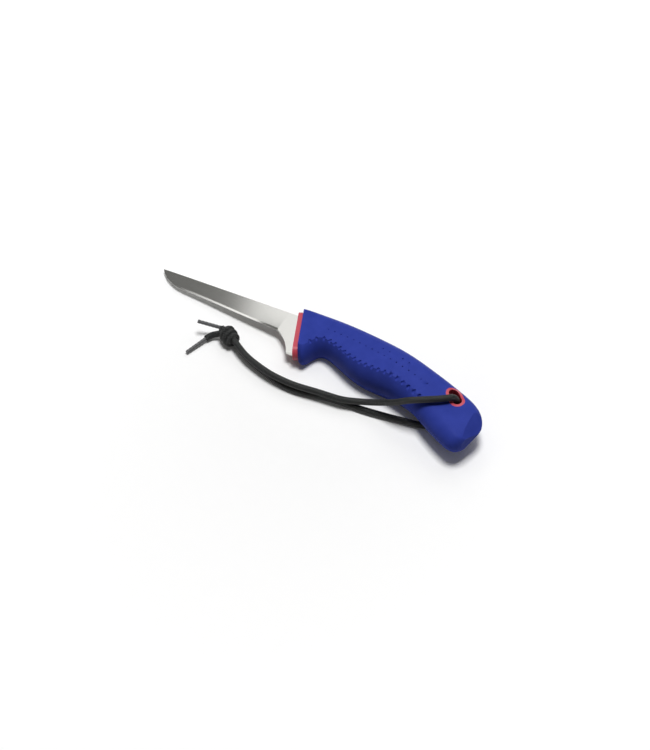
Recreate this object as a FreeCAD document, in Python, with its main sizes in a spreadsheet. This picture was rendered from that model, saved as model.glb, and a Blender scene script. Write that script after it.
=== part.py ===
# Fillet knife with a soft moulded grip and a knotted lanyard, lying on its side.
#
# The knife's own frame: X runs along the blade's spine, towards the butt, with 0 where the spine meets the
# collar. Y points to the spine side, and Z is the thickness, 0 in the middle of the blade. The finished knife
# is then laid down on the flat panel of its grip, so the floor is at Z 0 and the tip points to -X.
import FreeCAD, Part
import math
import os
import re
import Sketcher
from FreeCAD import Placement, Rotation, Vector

doc = FreeCAD.newDocument("fillet_knife")
sheet = doc.addObject("Spreadsheet::Sheet", "sizes")

SIZES = {
    # Blade, from the collar to the tip, with its ricasso and the tang inside the handle
    "blade_length": 96.5,
    "heel_width": 15.1,
    "blade_thickness": 2.0,
    "edge_thickness": 0.15,
    "edge_bevel": 1.1,
    "tip_rise": 1.0,
    "ricasso_depth": 28.9,
    "ricasso_land": 4.6,
    "notch_hollow": 1.5,
    "tang_length": 62.0,
    "tang_width": 10.0,
    "tang_drop": 8.4,
    "tang_hole": 5.0,
    "tang_hole_first": 22.0,
    "tang_hole_step": 26.0,
    # Handle, from the collar's front to the butt
    "handle_length": 133.0,
    "handle_height": 30.0,
    "front_thickness": 15.6,
    "palm_thickness": 22.8,
    "palm_place": 68.0,
    "collar_width": 3.3,
    "collar_thickness": 10.4,
    "collar_inset": 1.4,
    "core_wall": 2.2,
    "core_thickness": 8.4,
    "eyelet_length": 15.2,
    "eyelet_width": 9.0,
    "eyelet_wall": 1.7,
    # Where the origin lies on the resting panel
    "rest_back": 43.0,
    "rest_drop": 9.7,
    # Lanyard
    "cord_diameter": 4.0,
    "knot_length": 16.4,
    "knot_width": 11.2,
    "aglet_diameter": 2.4,
    "aglet_length": 15.0,
    "aglet_crimp": 0.18,
    # How far each cutting shape runs past what it cuts
    "overrun": 40.0,
}

for row, (alias, size) in enumerate(SIZES.items(), start=1):
    sheet.set("A%d" % row, alias)
    sheet.set("B%d" % row, str(size))
    sheet.setAlias("B%d" % row, alias)
doc.recompute()

# Handle stations from front to butt. Each rib runs from a point on the spine to a point on the belly: places
# along X are shares of handle_length and places along Y are shares of handle_height. Then come the rib's half
# thickness, as a share of the panel's own half thickness there, and where along the rib the round spine ends
# and the round belly starts.
HANDLE_RIB_SHARES = [
    (0.023, 0.147, 0.121, -0.995, 1.06, 0.36, 0.86),
    (0.071, 0.155, 0.158, -0.925, 1.06, 0.36, 0.86),
    (0.135, 0.152, 0.187, -0.680, 1.06, 0.38, 0.86),
    (0.225, 0.135, 0.250, -0.698, 1.06, 0.36, 0.86),
    (0.330, 0.090, 0.333, -0.866, 1.06, 0.36, 0.86),
    (0.443, 0.018, 0.420, -0.993, 1.06, 0.36, 0.86),
    (0.563, -0.085, 0.510, -1.023, 1.03, 0.36, 0.86),
    (0.676, -0.233, 0.608, -1.103, 0.86, 0.34, 0.84),
    (0.784, -0.402, 0.706, -1.273, 0.685, 0.31, 0.79),
    (0.880, -0.577, 0.789, -1.503, 0.615, 0.28, 0.74),
    (0.953, -0.761, 0.862, -1.680, 0.56, 0.27, 0.77),
    (0.991, -0.972, 0.912, -1.768, 0.49, 0.28, 0.80),
    (0.999, -1.256, 0.962, -1.656, 0.27, 0.30, 0.80),
]
# Where the panels end in a slope down to the butt: from a place on the panel to a place outside the butt, as
# shares of handle_length and handle_height, with the slope's height at both as shares of palm_thickness
BUTT_SLOPE_SHARES = (0.950, -1.333, 0.992, -1.347)
SLOPE_HEIGHT_SHARES = (0.333, 0.06)
# How far a rounded end bulges, as a share of its half width: the collar's ends, then the eyelet's
COLLAR_ROUND_SHARE = 0.85
EYELET_ROUND_SHARE = 0.92
# Middle of the eyelet as shares of handle_length and handle_height, and the way its long side runs
EYELET_PLACE_SHARES = (0.853, -0.820)
EYELET_WAY_SHARES = (0.65, -0.76)
# How wide the knot's flat ends are, and how long the slopes down to them, as shares of its width
KNOT_END_SHARES = (0.6, 0.26)
# How much of a cord's shorter run its arc takes at each corner, as a share
ARC_SHARE = 0.45
# Where an aglet's ridge is highest within its own stretch, as a share, and how many ridges there are
RIDGE_CREST_SHARE = 0.5
RIDGES = 7

# Blade stations from heel to tip: place along X as a share of blade_length, rise of the spine as a share of
# tip_rise, depth of the edge as a share of heel_width, thickness at the spine and above the bevel as shares
# of blade_thickness, and width of the bevel as a share of edge_bevel.
BLADE_STATION_SHARES = [
    (0.058, 0.0, 1.000, 1.00, 0.90, 1.00),
    (0.145, 0.09, 0.954, 1.00, 0.62, 1.00),
    (0.373, 0.33, 0.839, 0.95, 0.50, 1.00),
    (0.642, 0.62, 0.692, 0.85, 0.42, 1.00),
    (0.767, 0.75, 0.640, 0.80, 0.38, 1.00),
    (0.844, 0.83, 0.576, 0.75, 0.35, 1.00),
    (0.909, 0.90, 0.417, 0.70, 0.32, 0.90),
    (0.965, 0.96, 0.179, 0.60, 0.28, 0.70),
    (1.000, 1.0, -0.046, 0.40, 0.20, 0.20),
]

# The lanyard's routes, in millimetres on the floor that the knife lies on
NEAR_LEG_ROUTE = [
    (71.7, -16.2, 16.5), (71.7, -16.2, 24.8), (64.7, -22.8, 24.9), (56.6, -27.4, 24.3),
    (47.4, -29.6, 21.0), (39.7, -30.0, 16.2), (33.0, -29.5, 11.9), (26.8, -29.6, 8.5),
    (19.0, -31.2, 6.5), (9.7, -34.4, 6.3), (2.0, -35.1, 6.2), (-5.5, -35.8, 6.4),
    (-12.7, -36.8, 6.5), (-20.2, -37.5, 6.4), (-28.2, -37.4, 6.5), (-36.6, -36.5, 6.4),
    (-45.8, -34.2, 6.3), (-55.4, -31.0, 6.3), (-61.6, -27.7, 6.5), (-66.4, -24.8, 6.8), (-69.8, -22.9, 7.0),
]
FAR_LEG_ROUTE = [
    (71.7, -16.2, 16.5), (71.7, -16.2, 10.4), (71.6, -17.1, 2.2), (65.6, -22.5, 2.1),
    (60.1, -25.7, 2.2), (54.0, -27.9, 2.1), (46.2, -29.0, 2.2), (37.9, -30.3, 2.1),
    (28.5, -31.7, 2.2), (20.0, -32.6, 2.1), (10.6, -32.9, 2.2), (1.2, -33.6, 2.1),
    (-5.7, -35.2, 2.2), (-12.7, -36.9, 2.1), (-20.0, -37.9, 2.2), (-28.0, -37.7, 2.1),
    (-37.4, -35.2, 2.2), (-47.2, -32.0, 2.1), (-56.6, -28.6, 2.2), (-62.7, -25.6, 2.2),
    (-67.0, -22.9, 2.4), (-70.2, -20.8, 2.6),
]
KNOT_PLACE = (-73.0, -21.3, 5.6)
KNOT_TURN = 148.0
LOWER_TAIL_ROUTE = [(-77.6, -20.0, 4.6), (-80.7, -21.5, 3.9), (-84.5, -23.8, 3.0), (-85.75, -27.15, 2.7)]
UPPER_AGLET_ROUTE = [(-79.7, -18.3, 6.5), (-93.6, -23.3, 10.5)]


def value(formula):
    """The number that a formula of named sizes gives."""
    return float(sheet.evalExpression(formula))


def bound(formula):
    """The same formula as an expression that follows the sheet's cells."""
    def named(word):
        return ("sizes." if word.group() in SIZES else "") + word.group()

    return re.sub(r"[a-z_]{4,}", named, formula)


def origin_item(body, role):
    """One of a body's own planes or axes."""
    return next(item for item in body.Origin.OriginFeatures if item.Role == role)


def make_body(label):
    body = doc.addObject("PartDesign::Body", label)
    body.Label = label
    return body


def make_sketch(body, name, role="XY_Plane"):
    sketch = body.newObject("Sketcher::SketchObject", name)
    sketch.AttachmentSupport = (origin_item(body, role), "")
    sketch.MapMode = "FlatFace"
    return sketch


def pin(sketch, curve, end, across, up):
    """Hold one end of a curve at two formulas, across and up in the sketch."""
    for kind, axis, formula in (("DistanceX", -2, across), ("DistanceY", -1, up)):
        if formula == "0":
            sketch.addConstraint(Sketcher.Constraint("PointOnObject", curve, end, axis))
            continue
        place = sketch.addConstraint(Sketcher.Constraint(kind, -1, 1, curve, end, value(formula)))
        sketch.setExpression("Constraints[%d]" % place, bound(formula))


def draw_outline(sketch, corners, hollows=None):
    """A closed outline through corners given as pairs of formulas. A side listed in hollows is an arc that
    leaves its chord by that formula, to the left of the way round."""
    hollows = hollows or {}
    spots = [Vector(value(across), value(up), 0) for across, up in corners]
    for side, (start, stop) in enumerate(zip(spots, spots[1:] + spots[:1])):
        if side in hollows:
            way = (stop - start).normalize()
            middle = (start + stop) * 0.5 + Vector(-way.y, way.x, 0) * value(hollows[side])
            sketch.addGeometry(Part.Arc(stop, middle, start), False)
        else:
            sketch.addGeometry(Part.LineSegment(start, stop), False)
    first_end = [2 if side in hollows else 1 for side in range(len(corners))]
    for side, (across, up) in enumerate(corners):
        before = (side - 1) % len(corners)
        sketch.addConstraint(
            Sketcher.Constraint("Coincident", before, 3 - first_end[before], side, first_end[side]))
        pin(sketch, side, first_end[side], across, up)
    for side, hollow in hollows.items():
        start, stop = corners[side], corners[(side + 1) % len(corners)]
        chord = "((%s - (%s))^2 + (%s - (%s))^2)" % (stop[0], start[0], stop[1], start[1])
        radius = "%s / (8 * (%s)) + (%s) / 2" % (chord, hollow, hollow)
        hold_radius(sketch, side, radius)


def hold_radius(sketch, arc, radius):
    place = sketch.addConstraint(Sketcher.Constraint("Radius", arc, value(radius)))
    sketch.setExpression("Constraints[%d]" % place, bound(radius))


def draw_hole(sketch, across, up, diameter):
    """A circle held at two formulas, with a formula for its diameter."""
    spot = Vector(value(across), value(up), 0)
    circle = sketch.addGeometry(Part.Circle(spot, Vector(0, 0, 1), value(diameter) / 2), False)
    pin(sketch, circle, 3, across, up)
    place = sketch.addConstraint(Sketcher.Constraint("Diameter", circle, value(diameter)))
    sketch.setExpression("Constraints[%d]" % place, bound(diameter))


def make_pad(body, name, sketch, length):
    """A pad of the sketch, half of its length to each side."""
    pad = body.newObject("PartDesign::Pad", name)
    pad.Profile = sketch
    pad.SideType = "Symmetric"
    pad.setExpression("Length", bound(length))
    return pad


def make_pocket(body, name, sketch, length):
    pocket = body.newObject("PartDesign::Pocket", name)
    pocket.Profile = sketch
    pocket.SideType = "Symmetric"
    pocket.setExpression("Length", bound(length))
    return pocket


# Handle: its panel, its ribs and the tilt at which it lies

def panel_half(along):
    """Half the thickness between the two flat panels at a place along X."""
    return "((front_thickness + (palm_thickness - front_thickness) * (%s) / palm_place) / 2)" % along


def rib_length(shares):
    """Formula for the length of a rib, from the spine to the belly."""
    across = "handle_length * %s" % (shares[2] - shares[0])
    drop = "handle_height * %s" % (shares[3] - shares[1])
    return "sqrt((%s)^2 + (%s)^2)" % (across, drop)


def make_rib_sketch(body, name, shares):
    """A sketch that stands on a rib: its X runs from the spine to the belly and its Y is the thickness."""
    sketch = make_sketch(body, name, "XZ_Plane")
    across, length = "handle_length * %s" % (shares[2] - shares[0]), rib_length(shares)
    sketch.AttachmentOffset = Placement(Vector(), Rotation(Vector(0, 1, 0), -90))
    sketch.setExpression("AttachmentOffset.Base.x", bound("handle_length * %s" % shares[0]))
    sketch.setExpression("AttachmentOffset.Base.z", bound("-1 * handle_height * %s" % shares[1]))
    sketch.setExpression("AttachmentOffset.Rotation.Angle", bound("-1 * acos((%s) / %s)" % (across, length)))
    return sketch


def draw_rib(sketch, spine_end, belly_start, belly_end, half, spine_start="0"):
    """A rib's section: round spine, two straight flanks and a round belly."""
    left, right, high = value(spine_end), value(belly_start), value(half)
    spine, belly = Vector(value(spine_start), 0, 0), Vector(value(belly_end), 0, 0)
    upper_left, upper_right = Vector(left, high, 0), Vector(right, high, 0)
    lower_left, lower_right = Vector(left, -high, 0), Vector(right, -high, 0)
    sketch.addGeometry(Part.LineSegment(upper_right, upper_left), False)
    sketch.addGeometry(Part.Arc(upper_left, spine, lower_left), False)
    sketch.addGeometry(Part.LineSegment(lower_left, lower_right), False)
    sketch.addGeometry(Part.Arc(lower_right, belly, upper_right), False)
    below = "-1 * " + half
    corners = [(belly_start, half), (spine_end, half), (spine_end, below), (belly_start, below)]
    for side, (across, up) in enumerate(corners):
        sketch.addConstraint(Sketcher.Constraint("Coincident", (side - 1) % len(corners), 2, side, 1))
        pin(sketch, side, 1, across, up)
    bulges = {1: "(%s - %s)" % (spine_end, spine_start), 3: "(%s - %s)" % (belly_end, belly_start)}
    for arc, bulge in bulges.items():
        hold_radius(sketch, arc, "(%s^2 + (%s)^2) / (2 * %s)" % (bulge, half, bulge))


tilt = math.atan(value("(palm_thickness - front_thickness) / 2 / palm_place"))
lift = value("front_thickness / 2") * math.cos(tilt)
lying = Placement(
    Vector(-value("rest_back"), value("rest_drop"), lift), Rotation(Vector(0, 1, 0), -math.degrees(tilt)))


def make_handle_form():
    """The outside of the whole handle: ribs joined by a loft, then cut to the two flat panels and to the
    slopes that end them at the butt."""
    body = make_body("handle_form")
    sections = []
    for number, shares in enumerate(HANDLE_RIB_SHARES):
        sketch = make_rib_sketch(body, "rib_%d" % number, shares)
        length = rib_length(shares)
        middle = "handle_length * %s" % ((shares[0] + shares[2]) / 2)
        half = "%s * %s" % (panel_half(middle), shares[4])
        draw_rib(sketch, "%s * %s" % (shares[5], length), "%s * %s" % (shares[6], length), length, half)
        sections.append(sketch)
    loft = body.newObject("PartDesign::AdditiveLoft", "handle_loft")
    loft.Profile = sections[0]
    loft.Sections = sections[1:]
    loft.Ruled = False
    doc.recompute()
    before = body.Shape.Volume
    for name, side in (("upper_panel", "1"), ("lower_panel", "-1")):
        sketch = make_sketch(body, name, "XZ_Plane")
        front, back = "-1 * overrun", "handle_length + overrun"
        corners = [(front, "%s * %s" % (side, panel_half(front))),
                   (back, "%s * %s" % (side, panel_half(back))),
                   (back, "%s * overrun" % side), (front, "%s * overrun" % side)]
        draw_outline(sketch, corners)
        make_pocket(body, name + "_cut", sketch, "8 * overrun")
        doc.recompute()
        print(name, "took", round(before - body.Shape.Volume), "mm3")
        before = body.Shape.Volume
    for name, side in (("upper_slope", "1"), ("lower_slope", "-1")):
        sketch = make_rib_sketch(body, name, BUTT_SLOPE_SHARES)
        high, low = ["%s * palm_thickness * %s" % (side, share) for share in SLOPE_HEIGHT_SHARES]
        reach = rib_length(BUTT_SLOPE_SHARES)
        steep = "((%s - (%s)) / %s)" % (low, high, reach)
        inner, outer = "(-1 * overrun / 2)", "(overrun / 2)"
        corners = [(inner, "%s + %s * %s" % (high, steep, inner)),
                   (outer, "%s + %s * %s" % (high, steep, outer)),
                   (outer, "%s * 2 * overrun" % side), (inner, "%s * 2 * overrun" % side)]
        draw_outline(sketch, corners)
        make_pocket(body, name + "_cut", sketch, "8 * overrun")
        doc.recompute()
        print(name, "took", round(before - body.Shape.Volume), "mm3")
        before = body.Shape.Volume
    return body


# Collar front: the line across the knife where the blade's ricasso meets the collar

def collar_line(depth):
    """Formula for the place along X of the collar's front face, at a depth below the blade's spine."""
    spine_x, spine_y, belly_x, belly_y = HANDLE_RIB_SHARES[0][:4]
    run = "(handle_length * %s / (handle_height * %s))" % (belly_x - spine_x, spine_y - belly_y)
    start = "(handle_length * %s + handle_height * %s * %s)" % (spine_x, spine_y, run)
    return "(%s + (%s) * %s - collar_width * sqrt(1 + %s^2))" % (start, depth, run, run)


def make_blade():
    """The ground blade as a loft, then the flat ricasso and the tang that the handle is moulded on."""
    body = make_body("blade")
    sections = []
    for number, (along, rise, depth, spine, shoulder, bevel) in enumerate(BLADE_STATION_SHARES):
        sketch = make_sketch(body, "blade_section_%d" % number, "YZ_Plane")
        sketch.setExpression("AttachmentOffset.Base.z", bound("-1 * blade_length * %s" % along))
        edge = "-1 * heel_width * %s" % depth
        upper = [("tip_rise * %s" % rise, "blade_thickness * %s / 2" % spine),
                 ("%s + edge_bevel * %s" % (edge, bevel), "blade_thickness * %s / 2" % shoulder),
                 (edge, "edge_thickness / 2")]
        lower = [(across, "-1 * " + up) for across, up in reversed(upper)]
        if rise == 0:
            upper[0], lower[-1] = ("0", upper[0][1]), ("0", lower[-1][1])
        draw_outline(sketch, upper + lower)
        sections.append(sketch)
    loft = body.newObject("PartDesign::AdditiveLoft", "blade_loft")
    loft.Profile = sections[0]
    loft.Sections = sections[1:]
    loft.Ruled = False
    doc.recompute()
    heel = "-1 * blade_length * %s" % BLADE_STATION_SHARES[0][0]
    ricasso = make_sketch(body, "ricasso_outline")
    corners = [(heel, "0"), (heel, "-1 * heel_width"),
               (collar_line("ricasso_depth") + " - ricasso_land", "-1 * ricasso_depth"),
               (collar_line("ricasso_depth"), "-1 * ricasso_depth"), (collar_line("0"), "0")]
    draw_outline(ricasso, corners, {1: "notch_hollow"})
    make_pad(body, "ricasso", ricasso, "blade_thickness")
    doc.recompute()
    tang = make_sketch(body, "tang_outline")
    top, bottom = "-1 * (tang_drop - tang_width / 2)", "-1 * (tang_drop + tang_width / 2)"
    draw_outline(tang, [(heel, top), (heel, bottom), ("tang_length", bottom), ("tang_length", top)])
    make_pad(body, "tang", tang, "blade_thickness")
    doc.recompute()
    holes = make_sketch(body, "tang_hole_outline")
    draw_hole(holes, "tang_hole_first", "-1 * tang_drop", "tang_hole")
    pocket = make_pocket(body, "tang_hole", holes, "2 * blade_thickness")
    doc.recompute()
    pattern = body.newObject("PartDesign::LinearPattern", "tang_holes")
    pattern.Originals = [pocket]
    pattern.Direction = (origin_item(body, "X_Axis"), [""])
    pattern.Mode = "Spacing"
    pattern.Occurrences = 2
    pattern.setExpression("Offset", bound("tang_hole_step"))
    body.Tip = pattern
    return body


def eyelet_place():
    """Formulas for the middle of the eyelet."""
    return "(handle_length * %s)" % EYELET_PLACE_SHARES[0], "(handle_height * %s)" % EYELET_PLACE_SHARES[1]


def make_core_bar():
    """The hard inner moulding round the tang, with an arm back to the eyelet, and the collar in front."""
    body = make_body("core_bar")
    outline = make_sketch(body, "core_outline")
    back, down = eyelet_place()
    run, fall = "(%s - tang_length)" % back, "(-1 * %s - tang_drop)" % down
    lean = "(eyelet_width / 2 * %s / sqrt(%s^2 + %s^2))" % (fall, run, fall)
    reach = "(eyelet_width / 2 * %s / sqrt(%s^2 + %s^2))" % (run, run, fall)
    rise, depth = "tang_drop - tang_width / 2 - core_wall", "tang_drop + tang_width / 2 + core_wall"
    corners = [(collar_line(rise), "-1 * (%s)" % rise), (collar_line(depth), "-1 * (%s)" % depth),
               ("tang_length", "-1 * (%s)" % depth),
               ("%s - %s" % (back, lean), "%s - %s" % (down, reach)),
               ("%s + %s" % (back, lean), "%s + %s" % (down, reach)),
               ("tang_length + core_wall", "-1 * (%s)" % rise)]
    draw_outline(outline, corners)
    make_pad(body, "core_pad", outline, "core_thickness")
    doc.recompute()
    collar = make_rib_sketch(body, "collar_outline", HANDLE_RIB_SHARES[0])
    length = rib_length(HANDLE_RIB_SHARES[0])
    half = "(collar_thickness / 2)"
    bulge = "(collar_thickness / 2 * %s)" % COLLAR_ROUND_SHARE
    spine_end, belly_start = "(collar_inset + %s)" % bulge, "(%s - %s)" % (length, bulge)
    draw_rib(collar, spine_end, belly_start, length, half, "collar_inset")
    pad = body.newObject("PartDesign::Pad", "collar")
    pad.Profile = collar
    pad.setExpression("Length", bound("collar_width"))
    doc.recompute()
    if body.Shape.BoundBox.XMin > value(collar_line("0")) + value("collar_width") / 2:
        pad.Reversed = True
    return body


def make_post(label, length, width):
    """A long round-ended post through the handle where the eyelet is."""
    body = make_body(label)
    sketch = make_sketch(body, label + "_outline")
    back, down = eyelet_place()
    along, up = EYELET_WAY_SHARES
    corners = []
    for end, side in ((-1, 1), (1, 1), (1, -1), (-1, -1)):
        ahead, beside = "(%s - %s) / 2 * %s" % (length, width, end), "%s / 2 * %s" % (width, side)
        corners.append(("%s + %s * %s + %s * %s" % (back, ahead, along, beside, -up),
                        "%s + %s * %s + %s * %s" % (down, ahead, up, beside, along)))
    bulge = "(%s / 2 * %s)" % (width, EYELET_ROUND_SHARE)
    draw_outline(sketch, corners, {1: bulge, 3: bulge})
    make_pad(body, label + "_pad", sketch, "2 * overrun")
    return body


def make_boolean(kind, label, base, tool):
    piece = doc.addObject("Part::" + kind, label)
    piece.Label = label
    piece.Base = base
    piece.Tool = tool
    return piece


# Lanyard: cord stretches, knot and aglets

def cord_path(route):
    """Straight runs joined by arcs as large as the runs allow. Gives the path and its smallest radius."""
    points = [Vector(*point) for point in route]
    edges, start, least = [], points[0], math.inf
    for before, corner, after in zip(points, points[1:], points[2:]):
        come, leave = (corner - before), (after - corner)
        turn = come.getAngle(leave)
        cut = ARC_SHARE * min(come.Length, leave.Length)
        least = min(least, cut / math.tan(turn / 2))
        enter = corner - come.normalize() * cut
        leave_at = corner + leave.normalize() * cut
        inward = (leave - come).normalize()
        depth = cut / math.tan(turn / 2) * (1 / math.cos(turn / 2) - 1)
        edges.append(Part.LineSegment(start, enter).toShape())
        edges.append(Part.Arc(enter, corner + inward * depth, leave_at).toShape())
        start = leave_at
    edges.append(Part.LineSegment(start, points[-1]).toShape())
    return Part.Wire(edges), least


def make_cord(label, route):
    path, least = cord_path(route)
    width = value("cord_diameter")
    way = Vector(*route[1]) - Vector(*route[0])
    ring = Part.Wire(Part.Circle(Vector(*route[0]), way, width / 2).toShape())
    tube = path.makePipeShell([ring], True, False)
    share = tube.Volume / (math.pi * width ** 2 / 4 * path.Length)
    print(label, "length %.1f, least radius %.1f, volume share %.3f" % (path.Length, least, share))
    piece = doc.addObject("Part::Feature", label)
    piece.Label = label
    piece.Shape = tube
    return piece


def make_aglet(label, start, way):
    """A crimped tube: a revolved profile with shallow ridges along it, from a start along the way given by
    two points."""
    body = make_body(label)
    sketch = make_sketch(body, label + "_profile", "XZ_Plane")
    corners = [("0", "0"), ("aglet_diameter / 2 - aglet_crimp", "0")]
    for ridge in range(RIDGES):
        corners.append(("aglet_diameter / 2", "aglet_length * %s" % ((ridge + RIDGE_CREST_SHARE) / RIDGES)))
        corners.append(("aglet_diameter / 2 - aglet_crimp", "aglet_length * %s" % ((ridge + 1) / RIDGES)))
    corners.append(("0", "aglet_length"))
    draw_outline(sketch, corners)
    turn = body.newObject("PartDesign::Revolution", label + "_turn")
    turn.Profile = sketch
    turn.ReferenceAxis = (sketch, ["V_Axis"])
    turn.Angle = 360
    along = Vector(*way[1]) - Vector(*way[0])
    body.Placement = Placement(Vector(*start), Rotation(Vector(0, 0, 1), along))
    return body


def make_knot(cords):
    """The lump of the knot, a turned form with sloping ends, with the cord's stretches let into it."""
    lump = make_body("knot_lump")
    sketch = make_sketch(lump, "knot_profile")
    narrow, slope = KNOT_END_SHARES
    end, corner = "(knot_length / 2)", "(knot_length / 2 - knot_width * %s)" % slope
    low, high = "knot_width / 2 * %s" % narrow, "knot_width / 2"
    corners = [("-1 * " + end, "0"), ("-1 * " + end, low), ("-1 * " + corner, high),
               (corner, high), (end, low), (end, "0")]
    draw_outline(sketch, corners)
    turn = lump.newObject("PartDesign::Revolution", "knot_turn")
    turn.Profile = sketch
    turn.ReferenceAxis = (sketch, ["H_Axis"])
    turn.Angle = 360
    lump.Placement = Placement(Vector(*KNOT_PLACE), Rotation(Vector(0, 0, 1), KNOT_TURN))
    held = doc.addObject("Part::MultiFuse", "knot_held")
    held.Shapes = cords
    return make_boolean("Cut", "lanyard_knot", lump, held)


form = make_handle_form()
blade = make_blade()
bar = make_core_bar()
post = make_post("eyelet_post", "eyelet_length", "eyelet_width")
drill = make_post("eyelet_drill", "(eyelet_length - 2 * eyelet_wall)", "(eyelet_width - 2 * eyelet_wall)")
for body in (form, blade, bar, post, drill):
    body.Placement = lying
ring = make_boolean("Common", "eyelet_ring", post, form)
moulding = make_boolean("Fuse", "core_moulding", bar, ring)
grip = make_boolean("Cut", "grip", form, moulding)
bored = make_boolean("Cut", "core_bored", moulding, drill)
core = make_boolean("Cut", "handle_core", bored, blade)
doc.recompute()

near_leg = make_cord("lanyard_near_leg", NEAR_LEG_ROUTE)
far_leg = make_cord("lanyard_far_leg", FAR_LEG_ROUTE)
lower_tail = make_cord("lanyard_lower_tail", LOWER_TAIL_ROUTE)
lower_aglet = make_aglet("lower_aglet", LOWER_TAIL_ROUTE[-1], LOWER_TAIL_ROUTE[-2:])
upper_aglet = make_aglet("upper_aglet", UPPER_AGLET_ROUTE[0], UPPER_AGLET_ROUTE)
doc.recompute()
knot = make_knot([near_leg, far_leg, lower_tail, upper_aglet])
doc.recompute()

failed = [item.Label for item in doc.Objects if "Invalid" in item.State or "Error" in item.State]
if failed:
    raise RuntimeError("these did not build: %s" % failed)
pieces = [blade, core, grip, near_leg, far_leg, lower_tail, knot, lower_aglet, upper_aglet]
for piece in pieces:
    shape = piece.Shape
    if shape.isNull() or not shape.isValid() or not shape.Solids:
        raise RuntimeError("%s has no sound solid" % piece.Label)
    box = shape.BoundBox
    print("%-20s %d solid(s) %8.0f mm3" % (piece.Label, len(shape.Solids), shape.Volume), end="  ")
    print("X %.1f..%.1f" % (box.XMin, box.XMax), "Y %.1f..%.1f" % (box.YMin, box.YMax), end=" ")
    print("Z %.2f..%.2f" % (box.ZMin, box.ZMax))
os.makedirs("parts", exist_ok=True)
for piece in pieces:
    piece.Shape.exportStep("parts/%s.step" % piece.Label)
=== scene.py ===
# %% [markdown]
# # A fillet knife with a lanyard
# The knife lies on its side on a pale floor: a thin steel blade, a blue rubber grip moulded over a hard red
# core, and a black braided lanyard that goes through the eyelet at the butt and ends in a knot and two
# aglets. The measured solids are loaded first and stay where they are. Every piece made here goes on top of
# them.

# %% Load the frame
import bmesh
import bpy
import math
from mathutils import Matrix, Vector
from mathutils.bvhtree import BVHTree


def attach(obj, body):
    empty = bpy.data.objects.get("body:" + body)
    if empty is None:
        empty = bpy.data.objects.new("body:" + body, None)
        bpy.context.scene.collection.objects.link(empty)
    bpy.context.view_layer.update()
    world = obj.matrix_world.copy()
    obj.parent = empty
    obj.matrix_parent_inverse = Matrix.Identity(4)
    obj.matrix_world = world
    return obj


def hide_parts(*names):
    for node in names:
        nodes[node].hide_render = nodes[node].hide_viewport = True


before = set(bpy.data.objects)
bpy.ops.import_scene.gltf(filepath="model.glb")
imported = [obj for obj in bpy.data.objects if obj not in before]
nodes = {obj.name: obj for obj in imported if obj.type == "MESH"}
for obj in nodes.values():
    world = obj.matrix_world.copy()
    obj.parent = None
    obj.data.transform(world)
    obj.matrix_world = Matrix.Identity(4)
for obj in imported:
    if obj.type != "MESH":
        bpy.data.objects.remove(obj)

MM = 0.001
scene = bpy.context.scene
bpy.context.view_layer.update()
print("solids:", sorted(nodes))

# %% [markdown]
# ## Camera
# The picture looks down at the knife from halfway up, a little from the butt's side. A camera can be set by
# location and rotation, or by the spot it looks at with an azimuth, an elevation and a distance. The second
# way is easier to read, so the location is worked out from those. The sensor's height is fixed, because the
# picture is taller than it is wide.

# %% Camera
LOOK_AT = Vector((-10.2, -17.8, 0.0)) * MM
AZIMUTH, ELEVATION = math.radians(27.35), math.radians(50.0)
DISTANCE = 700 * MM
SENSOR_HEIGHT, FOCAL_LENGTH = 36.0, 57.12

towards_camera = Vector((math.sin(AZIMUTH) * math.cos(ELEVATION),
                         -math.cos(AZIMUTH) * math.cos(ELEVATION), math.sin(ELEVATION)))
lens = bpy.data.cameras.new("studio_camera")
lens.sensor_fit = "VERTICAL"
lens.sensor_height = SENSOR_HEIGHT
lens.lens = FOCAL_LENGTH
camera = bpy.data.objects.new("studio_camera", lens)
camera.location = LOOK_AT + towards_camera * DISTANCE
camera.rotation_euler = (-towards_camera).to_track_quat("-Z", "Y").to_euler()
scene.collection.objects.link(camera)
scene.camera = camera
print("camera at", [round(v, 4) for v in camera.location])

# %% [markdown]
# ## Floor and light
# The background is white paper with a short dark shadow close to the knife. White could come from very strong
# lamps, but then every colour on the knife would wash out. So the lamps stay at a plain level. The paper that
# the camera and mirror-like surfaces see glows a little, more with distance from the knife, and the room
# round it is white to the camera. The paper that throws light back up at the belly is duller, and the shadow
# still shows on it. A soft box overhead makes the light. A wide pale card behind the knife is what the steel
# mirrors: its left end stops short, so the blade darkens towards the tip. A small card on the left gives the
# ground edge its gleam.

# %% Floor and light
scene.view_settings.view_transform = "Standard"

FLOOR_HALF = 3.0
# The floor lies a hair lower than the knife, so that no two faces share a plane
FLOOR_DROP = 0.02 * MM
# A distance from the middle of the paper in metres, and shares of it with the level of glow at each
PAPER_EDGE = 1.5
PAPER_GLOW = [(0.05, 0.02), (0.20, 0.25), (0.7, 1.0)]
PAPER_DULL = (0.75, 0.75, 0.75, 1.0)
ROOM_COLOUR = (0.98, 0.98, 0.96, 1.0)
# The room's level as light, in mirror-like surfaces and to the camera, where its tint just clips to white
ROOM_LEVEL, ROOM_LEVEL_MIRRORED, ROOM_LEVEL_SEEN = 0.08, 0.20, 1.05
# Name, place, aim, width and depth in metres, and watts
SOFT_BOXES = [
    ("pale_card", (-0.045, 0.50, 0.62), LOOK_AT, 0.85, 0.45, 1.22),
    ("edge_card", (-0.40, 0.0, 0.68), (-0.09, 0.0, 0.0), 0.22, 0.22, 0.20),
    ("top_soft_box", (0.03, 0.06, 0.95), LOOK_AT, 0.30, 0.30, 7.35),
]


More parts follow.
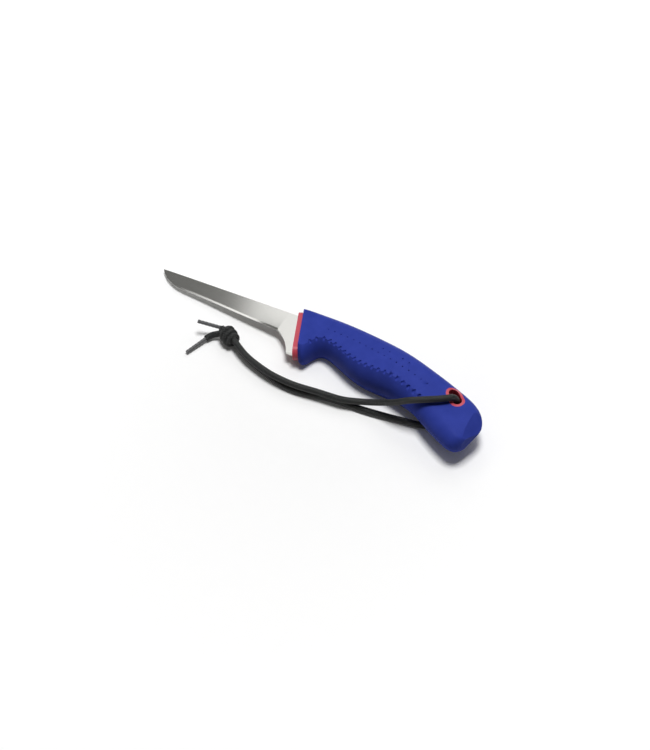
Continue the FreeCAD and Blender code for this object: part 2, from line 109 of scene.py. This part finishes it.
class NodeTree:
    """A node tree that is put together step by step."""

    def __init__(self, tree):
        self.tree = tree

    def add(self, kind, feeds=None, **settings):
        """A node with its settings, and with its inputs fed by sockets or plain values."""
        node = self.tree.nodes.new(kind)
        for key, setting in settings.items():
            setattr(node, key, setting)
        for socket, feed in (feeds or {}).items():
            if isinstance(feed, bpy.types.NodeSocket):
                self.tree.links.new(feed, node.inputs[socket])
            else:
                node.inputs[socket].default_value = feed
        return node

    def maths(self, operation, *feeds):
        return self.add("ShaderNodeMath", dict(enumerate(feeds)), operation=operation).outputs[0]


class MaterialTree(NodeTree):
    """A material's node tree, with the steps that the materials here share."""

    def __init__(self, name):
        self.material = bpy.data.materials.new(name)
        self.material.use_nodes = True
        self.material.node_tree.nodes.clear()
        super().__init__(self.material.node_tree)

    def place(self):
        """Coordinates in the piece's own frame."""
        return self.add("ShaderNodeTexCoord").outputs["Object"]

    def noise(self, vector, scale, detail):
        feeds = {"Vector": vector, "Scale": scale, "Detail": detail}
        return self.add("ShaderNodeTexNoise", feeds).outputs["Fac"]

    def tone(self, share, low, high):
        """A colour between two, by a share from 0 to 1."""
        ramp = self.add("ShaderNodeValToRGB", {"Fac": share})
        for end, colour in zip(ramp.color_ramp.elements, (low, high)):
            end.color = (*colour, 1.0)
        return ramp.outputs["Color"]

    def spread(self, share, low, high):
        """A number between two, by a share from 0 to 1."""
        feeds = {"Value": share, "To Min": low, "To Max": high}
        return self.add("ShaderNodeMapRange", feeds).outputs["Result"]

    def bump(self, height, strength, depth):
        feeds = {"Height": height, "Strength": strength, "Distance": depth}
        return self.add("ShaderNodeBump", feeds).outputs["Normal"]

    def close(self, shader):
        self.add("ShaderNodeOutputMaterial", {"Surface": shader})
        return self.material


def make_paper():
    t = MaterialTree("white_paper")
    path = t.add("ShaderNodeLightPath").outputs
    seen = t.maths("MAXIMUM", path["Is Camera Ray"], path["Is Glossy Ray"])
    seen = t.maths("MAXIMUM", seen, path["Is Transmission Ray"])
    grain = t.add("ShaderNodeTexNoise", {"Scale": 900.0}).outputs["Fac"]
    white = t.add("ShaderNodeBsdfDiffuse", {"Color": t.tone(grain, (0.95, 0.95, 0.95), (0.97, 0.97, 0.97))})
    off = t.add("ShaderNodeVectorMath", {0: t.place()}, operation="LENGTH").outputs["Value"]
    far = t.add("ShaderNodeMapRange", {"Value": off, "From Max": PAPER_EDGE}).outputs["Result"]
    lift = t.add("ShaderNodeValToRGB", {"Fac": far})
    stops = lift.color_ramp.elements
    for number, (share, level) in enumerate(PAPER_GLOW):
        stop = stops[number] if number < 2 else stops.new(share)
        stop.position, stop.color = share, (level, level, level, 1.0)
    glow = t.add("ShaderNodeEmission", {"Color": lift.outputs["Color"]})
    bright = t.add("ShaderNodeAddShader", {0: white.outputs["BSDF"], 1: glow.outputs["Emission"]})
    dull = t.add("ShaderNodeBsdfDiffuse", {"Color": PAPER_DULL})
    either = t.add("ShaderNodeMixShader", {0: seen, 1: dull.outputs["BSDF"], 2: bright.outputs["Shader"]})
    return t.close(either.outputs["Shader"])


def make_floor():
    corners = [(x * FLOOR_HALF, y * FLOOR_HALF, -FLOOR_DROP) for x, y in ((-1, -1), (1, -1), (1, 1), (-1, 1))]
    mesh = bpy.data.meshes.new("paper_floor")
    mesh.from_pydata(corners, [], [(0, 1, 2, 3)])
    mesh.materials.append(make_paper())
    floor = bpy.data.objects.new("paper_floor", mesh)
    scene.collection.objects.link(floor)


def hang_soft_box(name, place, aim, width, depth, watts):
    lamp = bpy.data.lights.new(name, "AREA")
    lamp.shape = "RECTANGLE"
    lamp.size, lamp.size_y = width, depth
    lamp.energy = watts
    box = bpy.data.objects.new(name, lamp)
    box.location = place
    box.rotation_euler = (Vector(aim) - Vector(place)).to_track_quat("-Z", "Y").to_euler()
    scene.collection.objects.link(box)


def light_room():
    """A dim room that mirror-like surfaces see a little lighter, and the camera sees as white."""
    world = bpy.data.worlds.new("studio_room")
    scene.world = world
    world.use_nodes = True
    t = NodeTree(world.node_tree)
    path = t.add("ShaderNodeLightPath").outputs
    level = t.add("ShaderNodeMapRange", {"Value": path["Is Glossy Ray"], "To Min": ROOM_LEVEL,
                                         "To Max": ROOM_LEVEL_MIRRORED}).outputs["Result"]
    seen = t.maths("MAXIMUM", level, t.maths("MULTIPLY", path["Is Camera Ray"], ROOM_LEVEL_SEEN))
    room = t.tree.nodes["Background"]
    room.inputs["Color"].default_value = ROOM_COLOUR
    t.tree.links.new(seen, room.inputs["Strength"])


make_floor()
for soft_box in SOFT_BOXES:
    hang_soft_box(*soft_box)
light_room()

# %% [markdown]
# ## The lanyard's lines
# The real cord is one length of limp braid, drawn through the eyelet at its middle. Both halves lie on the
# floor beside the handle, one on top of the other, and meet in the knot. Each half is a NURBS line here: it
# passes smoothly near its points and makes no kinks. The points are those of the measured tubes, apart from
# three where the near half lies over the handle, which are moved by about a millimetre at most to lie as the
# real cord does. The order is set after the points are added, or it would stay at straight runs.

# %% The lanyard's lines
NEAR_LEG = [
    (71.7, -16.2, 16.5), (71.7, -16.2, 24.8), (64.7, -22.2, 25.2), (56.6, -26.4, 24.6),
    (47.4, -29.0, 21.6), (39.7, -30.0, 16.2), (33.0, -29.5, 11.9), (26.8, -29.6, 8.5),
    (19.0, -31.2, 6.5), (9.7, -34.4, 6.3), (2.0, -35.1, 6.2), (-5.5, -35.8, 6.4),
    (-12.7, -36.8, 6.5), (-20.2, -37.5, 6.4), (-28.2, -37.4, 6.5), (-36.6, -36.5, 6.4),
    (-45.8, -34.2, 6.3), (-55.4, -31.0, 6.3), (-61.6, -27.7, 6.5), (-66.4, -24.8, 6.8),
    (-69.8, -22.9, 7.0),
]
FAR_LEG = [
    (71.7, -16.2, 16.5), (71.7, -16.2, 10.4), (71.6, -17.1, 2.2), (65.6, -22.5, 2.1),
    (60.1, -25.7, 2.2), (54.0, -27.9, 2.1), (46.2, -29.0, 2.2), (37.9, -30.3, 2.1),
    (28.5, -31.7, 2.2), (20.0, -32.6, 2.1), (10.6, -32.9, 2.2), (1.2, -33.6, 2.1),
    (-5.7, -35.2, 2.2), (-12.7, -36.9, 2.1), (-20.0, -37.9, 2.2), (-28.0, -37.7, 2.1),
    (-37.4, -35.2, 2.2), (-47.2, -32.0, 2.1), (-56.6, -28.6, 2.2), (-62.7, -25.6, 2.2),
    (-67.0, -22.9, 2.4), (-70.2, -20.8, 2.6),
]
LOWER_TAIL = [(-77.6, -20.0, 4.6), (-80.7, -21.5, 3.9), (-84.5, -23.8, 3.0), (-85.75, -27.15, 2.7)]
UPPER_AGLET_START = (-79.7, -18.3, 6.5)
CORD_WIDTH = 4.0 * MM


def nurbs_line(name, places):
    """A NURBS line near places given in millimetres."""
    curve = bpy.data.curves.new(name, "CURVE")
    curve.dimensions = "3D"
    curve.resolution_u = 16
    spline = curve.splines.new("NURBS")
    spline.points.add(len(places) - 1)
    for point, place in zip(spline.points, places):
        point.co = (place[0] * MM, place[1] * MM, place[2] * MM, 1.0)
    spline.order_u = 3
    spline.use_endpoint_u = True
    line = bpy.data.objects.new(name, curve)
    scene.collection.objects.link(line)
    return line


def final_mesh(piece):
    """A piece's shape with its modifiers, as a mesh of its own."""
    bpy.context.view_layer.update()
    return bpy.data.meshes.new_from_object(piece.evaluated_get(bpy.context.evaluated_depsgraph_get()))


def points_along(line):
    """The places that the NURBS line itself passes through."""
    mesh = final_mesh(line)
    places = [vertex.co.copy() for vertex in mesh.vertices]
    bpy.data.meshes.remove(mesh)
    return places


def length_of(places):
    return sum((b - a).length for a, b in zip(places, places[1:]))


near_line = nurbs_line("near_cord_line", NEAR_LEG + [UPPER_AGLET_START])
far_line = nurbs_line("far_cord_line", FAR_LEG + LOWER_TAIL)
near_path, far_path = points_along(near_line), points_along(far_line)
print("near half %.1f mm, far half %.1f mm" % (length_of(near_path) / MM, length_of(far_path) / MM))

# %% [markdown]
# ## Braiding the cord
# The lanyard is a round braid: eight yarns wind one way, eight the other, and each goes over and under those
# it meets. A bump pattern on a tube would do from afar, but close up the outline of a braid is never smooth.
# So Geometry Nodes copy the line sixteen times, wind each copy round it, and let its distance from the middle
# rise and fall, which is the weave. A plain inner tube closes the gaps. The sizes are inputs of the tree.

# %% Braiding the cord
YARNS_EACH_WAY = 8
YARN_SIDES, FILLING_SIDES = 6, 12


def make_cord_braid_material():
    t = MaterialTree("black_braid")
    fibre = t.noise(t.place(), 5200.0, 3.0)
    yarn = t.add("ShaderNodeBsdfPrincipled", {
        "Base Color": t.tone(fibre, (0.004, 0.0045, 0.0045), (0.013, 0.0145, 0.014)),
        "Roughness": 0.42, "Sheen Weight": 0.04, "Sheen Roughness": 0.4,
        "Normal": t.bump(fibre, 0.25, 0.05 * MM)})
    return t.close(yarn.outputs["BSDF"])


class GeometryTree(NodeTree):
    """A Geometry Nodes tree with named inputs."""

    def __init__(self, name, inputs):
        super().__init__(bpy.data.node_groups.new(name, "GeometryNodeTree"))
        sockets = self.tree.interface
        sockets.new_socket("Geometry", in_out="INPUT", socket_type="NodeSocketGeometry")
        for label, kind in inputs:
            sockets.new_socket(label, in_out="INPUT", socket_type=kind)
        sockets.new_socket("Geometry", in_out="OUTPUT", socket_type="NodeSocketGeometry")
        self.given = self.tree.nodes.new("NodeGroupInput").outputs

    def vectors(self, operation, *feeds):
        return self.add("ShaderNodeVectorMath", dict(enumerate(feeds)), operation=operation).outputs[0]

    def scaled(self, vector, factor):
        feeds = {0: vector, "Scale": factor}
        return self.add("ShaderNodeVectorMath", feeds, operation="SCALE").outputs[0]

    def close(self, geometry, material):
        """Realize Instances and Set Material, then the way out."""
        real = self.add("GeometryNodeRealizeInstances", {"Geometry": geometry}).outputs[0]
        painted = self.add("GeometryNodeSetMaterial", {"Geometry": real, "Material": material}).outputs[0]
        self.add("NodeGroupOutput", {"Geometry": painted})
        return self.tree


def make_braid_tree():
    sizes = [("Cord Radius", "NodeSocketFloat"), ("Yarn Radius", "NodeSocketFloat"),
             ("Weave", "NodeSocketFloat"), ("Turn Length", "NodeSocketFloat"), ("Step", "NodeSocketFloat"),
             ("Material", "NodeSocketMaterial")]
    b = GeometryTree("round_braid", sizes)
    evened = b.add("GeometryNodeResampleCurve", {"Curve": b.given["Geometry"], "Length": b.given["Step"]},
                   mode="LENGTH")
    straight = b.add("GeometryNodeSetCurveNormal", {"Curve": evened.outputs[0]}, mode="MINIMUM_TWIST")
    copies = b.add("GeometryNodeDuplicateElements",
                   {"Geometry": straight.outputs[0], "Amount": 2 * YARNS_EACH_WAY}, domain="SPLINE")
    number = copies.outputs["Duplicate Index"]
    second = b.maths("FLOOR", b.maths("DIVIDE", number, float(YARNS_EACH_WAY)))
    way = b.maths("SUBTRACT", 1.0, b.maths("MULTIPLY", 2.0, second))
    along = b.add("GeometryNodeSplineParameter").outputs["Length"]
    turned = b.maths("MULTIPLY", math.tau, b.maths("DIVIDE", along, b.given["Turn Length"]))
    first_angle = b.maths("MULTIPLY", math.tau / YARNS_EACH_WAY, number)
    angle = b.maths("ADD", b.maths("MULTIPLY", way, turned), first_angle)
    rise = b.maths("COSINE", b.maths("MULTIPLY", float(YARNS_EACH_WAY), turned))
    middle = b.maths("SUBTRACT", b.maths("SUBTRACT", b.given["Cord Radius"], b.given["Yarn Radius"]),
                     b.given["Weave"])
    radius = b.maths("ADD", middle, b.maths("MULTIPLY", b.maths("MULTIPLY", way, rise), b.given["Weave"]))
    out_way = b.add("GeometryNodeInputNormal").outputs[0]
    side_way = b.vectors("CROSS_PRODUCT", b.add("GeometryNodeInputTangent").outputs[0], out_way)
    off = b.vectors("ADD", b.scaled(out_way, b.maths("MULTIPLY", radius, b.maths("COSINE", angle))),
                    b.scaled(side_way, b.maths("MULTIPLY", radius, b.maths("SINE", angle))))
    wound = b.add("GeometryNodeSetPosition", {"Geometry": copies.outputs["Geometry"], "Offset": off})
    ring = b.add("GeometryNodeCurvePrimitiveCircle",
                 {"Resolution": YARN_SIDES, "Radius": b.given["Yarn Radius"]})
    yarns = b.add("GeometryNodeCurveToMesh",
                  {"Curve": wound.outputs[0], "Profile Curve": ring.outputs[0], "Fill Caps": True})
    inner = b.add("GeometryNodeCurvePrimitiveCircle", {"Resolution": FILLING_SIDES, "Radius": middle})
    filling = b.add("GeometryNodeCurveToMesh",
                    {"Curve": straight.outputs[0], "Profile Curve": inner.outputs[0], "Fill Caps": True})
    joined = b.add("GeometryNodeJoinGeometry")
    b.tree.links.new(yarns.outputs[0], joined.inputs[0])
    b.tree.links.new(filling.outputs[0], joined.inputs[0])
    smooth = b.add("GeometryNodeSetShadeSmooth", {"Geometry": joined.outputs[0]})
    return b.close(smooth.outputs[0], b.given["Material"])


def run_tree(source, tree, settings, name):
    """Run a tree on an object, with its inputs set by identifier. The result is a plain mesh object."""
    modifier = source.modifiers.new("tree", "NODES")
    modifier.node_group = tree
    for item in tree.interface.items_tree:
        if item.item_type == "SOCKET" and item.in_out == "INPUT" and item.name in settings:
            modifier[item.identifier] = settings[item.name]
    mesh = final_mesh(source)
    mesh.name = name
    piece = bpy.data.objects.new(name, mesh)
    scene.collection.objects.link(piece)
    source.modifiers.remove(modifier)
    return piece


black_braid = make_cord_braid_material()
braid_tree = make_braid_tree()
braid_sizes = {"Cord Radius": CORD_WIDTH / 2, "Yarn Radius": 0.42 * MM, "Weave": 0.13 * MM,
               "Turn Length": 9.5 * MM, "Step": 0.3 * MM, "Material": black_braid}
near_cord = run_tree(near_line, braid_tree, braid_sizes, "near_cord_braid")
far_cord = run_tree(far_line, braid_tree, braid_sizes, "far_cord_braid")
for line in (near_line, far_line):
    bpy.data.objects.remove(line)
print("yarn faces:", len(near_cord.data.polygons), len(far_cord.data.polygons))

# %% [markdown]
# ## The knot
# Both halves are tied together in one tight overhand knot, which from outside is a lump of slanting turns. A
# simulated knot would need a long run, and a smooth ball would look like a bead. So the turns are one more
# NURBS line, wound round the knot's own axis and slanted, and the same braid tree runs along it.

# %% The knot
KNOT_PLACE = Vector((-73.0, -21.3, 5.6)) * MM
KNOT_TURN = math.radians(148.0)
KNOT_LENGTH, KNOT_WIDTH, KNOT_HEIGHT = 16.4 * MM, 11.6 * MM, 10.8 * MM
TURNS, POINTS_PER_TURN = 3.2, 10
# How far a turn leans along the knot, how much narrower the ends are, and how far the middle of the outer
# turns stays inside the knot's ends, as a share of the cord's width
SLANT, END_NARROWING, END_MARGIN = 0.9 * MM, 0.35, 0.8


def knot_turns():
    """Places of a slanting winding that narrows at both ends, in millimetres."""
    along = Vector((math.cos(KNOT_TURN), math.sin(KNOT_TURN), 0.0))
    across = Vector((-along.y, along.x, 0.0))
    up = Vector((0.0, 0.0, 1.0))
    wide, high = KNOT_WIDTH / 2 - CORD_WIDTH / 2, KNOT_HEIGHT / 2 - CORD_WIDTH / 2
    reach = KNOT_LENGTH / 2 - CORD_WIDTH * END_MARGIN
    places = []
    count = round(TURNS * POINTS_PER_TURN)
    for step in range(count + 1):
        share = step / count
        angle = math.tau * TURNS * share
        slim = 1.0 - END_NARROWING * abs(2 * share - 1) ** 3
        spot = (KNOT_PLACE + along * (reach * (2 * share - 1) + SLANT * math.sin(angle))
                + across * (wide * slim * math.cos(angle)) + up * (high * slim * math.sin(angle)))
        places.append(tuple(spot / MM))
    return places


knot_line = nurbs_line("knot_line", knot_turns())
knot = run_tree(knot_line, braid_tree, braid_sizes, "lanyard_knot_turns")
bpy.data.objects.remove(knot_line)
print("knot faces:", len(knot.data.polygons))

# %% [markdown]
# ## Steel blade
# A fillet blade is thin ground stainless steel with a satin finish. The solid is right as it is, so it stays
# and gets a finish: a metal shader whose roughness and bump come from noise that is drawn out along the
# blade, as the marks of a fine belt are.

# %% Steel blade
BELT_MARKS = (60.0, 2600.0, 2600.0)


def make_satin_steel():
    t = MaterialTree("satin_steel")
    drawn = t.add("ShaderNodeMapping", {"Vector": t.place(), "Scale": BELT_MARKS}).outputs["Vector"]
    marks = t.noise(drawn, 1.0, 4.0)
    steel = t.add("ShaderNodeBsdfPrincipled", {
        "Metallic": 1.0,
        "Base Color": t.tone(marks, (0.62, 0.615, 0.59), (0.70, 0.695, 0.67)),
        "Roughness": t.spread(marks, 0.12, 0.18),
        "Normal": t.bump(marks, 0.03, 0.02 * MM)})
    return t.close(steel.outputs["BSDF"])


def finish_node(name, material):
    for slot in nodes[name].material_slots:
        slot.material = material
    print(name, "gets", material.name, "in", len(nodes[name].material_slots), "slot(s)")


finish_node("blade", make_satin_steel())

# %% [markdown]
# ## Hard red core and dark aglets
# The collar and the eyelet are the two places where the hard inner moulding shows through the rubber. Glossy
# moulded plastic is mostly one colour, with faint cloudiness and tiny unevenness in its gloss. The aglets are
# shrunk sleeves of dark grey plastic, with their ridges in the solid.

# %% Hard red core and dark aglets
def make_moulded_plastic(name, dark, light, low_rough, high_rough, cloud):
    t = MaterialTree(name)
    haze = t.noise(t.place(), cloud, 4.0)
    plastic = t.add("ShaderNodeBsdfPrincipled", {
        "Base Color": t.tone(haze, dark, light),
        "Roughness": t.spread(haze, low_rough, high_rough),
        "Normal": t.bump(haze, 0.08, 0.05 * MM)})
    return t.close(plastic.outputs["BSDF"])


finish_node("handle_core", make_moulded_plastic("red_plastic", (0.48, 0.045, 0.075), (0.60, 0.07, 0.105),
                                                0.28, 0.42, 300.0))
aglet_plastic = make_moulded_plastic("dark_sleeve_plastic", (0.05, 0.05, 0.052), (0.16, 0.16, 0.165),
                                     0.18, 0.32, 900.0)
for aglet in ("upper_aglet", "lower_aglet"):
    finish_node(aglet, aglet_plastic)

# %% [markdown]
# ## Rubber grip
# The grip is soft blue rubber moulded round the core. Along the edge between the flat panel and the belly
# runs a row of small nicks for the fingers, and two rows of shallow pits cross each panel. Cutting them one
# by one would be slow, so Geometry Nodes set one cutter at each even step along a line, and one Boolean takes
# each row out of a copy of the grip. The lines are written in the knife's own frame, X along the blade and Y
# towards the spine, and dropped onto the skin of both panels. Last, the flat faces are shaded flat and all
# others smooth, so that the panel stays flat between the nicks.

# %% Rubber grip
# How the knife lies, in millimetres: thickness at the front and the palm, the palm's place, and the collar's
FRONT_THICKNESS, PALM_THICKNESS, PALM_PLACE = 15.6, 22.8, 68.0
COLLAR_X, COLLAR_Y = -43.0, 9.7
TILT = math.atan((PALM_THICKNESS - FRONT_THICKNESS) / 2 / PALM_PLACE)
FRONT_HALF = FRONT_THICKNESS / 2
LYING = (Matrix.Translation(Vector((COLLAR_X, COLLAR_Y, FRONT_HALF * math.cos(TILT))))
         @ Matrix.Rotation(-TILT, 4, "Y"))
CREASE = [
    (20.5, -21.7), (23.0, -18.1), (26.9, -16.5), (31.1, -17.3), (35.3, -18.7), (39.3, -20.4), (43.3, -22.1),
    (47.4, -23.7), (51.5, -25.0), (55.7, -26.0), (60.1, -26.6), (64.4, -26.9), (68.8, -27.1), (73.1, -27.3),
    (77.4, -27.9), (81.7, -28.8), (86.1, -30.0), (90.6, -31.4), (95.0, -33.0),
]
LONG_PIT_ROW = [(26.0, -9.2), (37.5, -10.1), (55.4, -13.6), (67.6, -16.3), (72.8, -17.8), (86.4, -20.8),
                (95.7, -23.3)]
SHORT_PIT_ROW = [(62.5, -11.2), (67.4, -12.1), (76.2, -14.1), (80.7, -15.0)]
NICK = {"Step": 4.0 * MM, "Width": 0.95 * MM, "Reach": 1.7 * MM, "Depth": 1.2 * MM}
PIT = {"Step": 4.2 * MM, "Width": 0.55 * MM, "Reach": 0.5 * MM, "Depth": 0.5 * MM}
ROWS = [("nicks", CREASE, NICK), ("long_pits", LONG_PIT_ROW, PIT), ("short_pits", SHORT_PIT_ROW, PIT)]
# Corners this close are one corner, and edges sharper than this stay sharp
WELD, SHARP_EDGE = 0.002 * MM, math.radians(30.0)
# A flat face is at least this large in all, and its pieces point the same way to within this cosine
LARGE_FLAT, SAME_WAY = 60.0 * MM * MM, 0.99999
skin = BVHTree.FromObject(nodes["grip"], bpy.context.evaluated_depsgraph_get())


def on_skin(place, side):
    """A place of the knife's frame, dropped onto the grip's upper (1) or lower (-1) skin, in millimetres."""
    spot = LYING @ Vector((place[0], place[1], side * FRONT_HALF))
    hit = skin.ray_cast(Vector((spot.x, spot.y, side * 100.0)) * MM, Vector((0.0, 0.0, -side)))[0]
    return tuple(hit / MM)


def make_rubber():
    t = MaterialTree("blue_rubber")
    place = t.place()
    pebble = t.noise(place, 1400.0, 3.0)
    cloud = t.noise(place, 150.0, 5.0)
    rubber = t.add("ShaderNodeBsdfPrincipled", {
        "IOR": 1.12,
        "Base Color": t.tone(cloud, (0.022, 0.038, 0.255), (0.036, 0.057, 0.350)),
        "Roughness": t.spread(pebble, 0.42, 0.60),
        "Normal": t.bump(pebble, 0.25, 0.08 * MM)})
    return t.close(rubber.outputs["BSDF"])


def make_nick_tree():
    """One rounded cutter at each even step of a line, long across the line."""
    sizes = [("Step", "NodeSocketFloat"), ("Width", "NodeSocketFloat"), ("Reach", "NodeSocketFloat"),
             ("Depth", "NodeSocketFloat"), ("Material", "NodeSocketMaterial")]
    b = GeometryTree("nick_row", sizes)
    level = b.add("GeometryNodeSetCurveNormal", {"Curve": b.given["Geometry"]}, mode="Z_UP")
    spots = b.add("GeometryNodeCurveToPoints", {"Curve": level.outputs[0], "Length": b.given["Step"]},
                  mode="LENGTH")
    ball = b.add("GeometryNodeMeshIcoSphere", {"Radius": 1.0, "Subdivisions": 3})
    shape = b.add("ShaderNodeCombineXYZ",
                  {"X": b.given["Reach"], "Y": b.given["Depth"], "Z": b.given["Width"]})
    placed = b.add("GeometryNodeInstanceOnPoints",
                   {"Points": spots.outputs["Points"], "Instance": ball.outputs["Mesh"],
                    "Rotation": spots.outputs["Rotation"], "Scale": shape.outputs[0]})
    return b.close(placed.outputs[0], b.given["Material"])


def row_cutters(tree, rubber):
    cutters = []
    for name, places, sizes in ROWS:
        for label, side in (("upper_", 1), ("lower_", -1)):
            line = nurbs_line(label + name + "_line", [on_skin(place, side) for place in places])
            cutters.append(run_tree(line, tree, {**sizes, "Material": rubber}, label + name))
            bpy.data.objects.remove(line)
    return cutters


def flat_ways():
    """The ways that the grip's large flat faces point."""
    areas = {}
    for face in nodes["grip"].data.polygons:
        way = tuple(round(v, 4) for v in face.normal)
        areas[way] = areas.get(way, 0.0) + face.area
    return [Vector(way).normalized() for way, area in areas.items() if area > LARGE_FLAT]


def cut_grip(cutters, rubber):
    mesh = nodes["grip"].data.copy()
    mesh.name = "rubber_grip"
    form = bmesh.new()
    form.from_mesh(mesh)
    bmesh.ops.remove_doubles(form, verts=form.verts, dist=WELD)
    form.to_mesh(mesh)
    form.free()
    piece = bpy.data.objects.new("rubber_grip", mesh)
    scene.collection.objects.link(piece)
    for cutter in cutters:
        cut = piece.modifiers.new(cutter.name, "BOOLEAN")
        cut.operation = "DIFFERENCE"
        cut.solver = "EXACT"
        cut.object = cutter
    piece.data = final_mesh(piece)
    piece.modifiers.clear()
    for cutter in cutters:
        bpy.data.objects.remove(cutter)
    piece.data.materials.clear()
    piece.data.materials.append(rubber)
    piece.data.shade_smooth()
    piece.data.set_sharp_from_angle(angle=SHARP_EDGE)
    ways = flat_ways()
    for face in piece.data.polygons:
        face.use_smooth = all(face.normal.dot(way) < SAME_WAY for way in ways)
    return piece


blue_rubber = make_rubber()
grip = cut_grip(row_cutters(make_nick_tree(), blue_rubber), blue_rubber)
print("grip faces:", len(grip.data.polygons))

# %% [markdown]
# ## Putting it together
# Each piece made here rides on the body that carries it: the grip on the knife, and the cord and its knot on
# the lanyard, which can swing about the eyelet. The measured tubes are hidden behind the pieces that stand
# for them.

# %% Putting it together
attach(grip, "knife")
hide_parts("grip")
for piece, stood_for in ((near_cord, ["lanyard_near_leg"]),
                         (far_cord, ["lanyard_far_leg", "lanyard_lower_tail"]),
                         (knot, ["lanyard_knot"])):
    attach(piece, "lanyard")
    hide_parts(*stood_for)
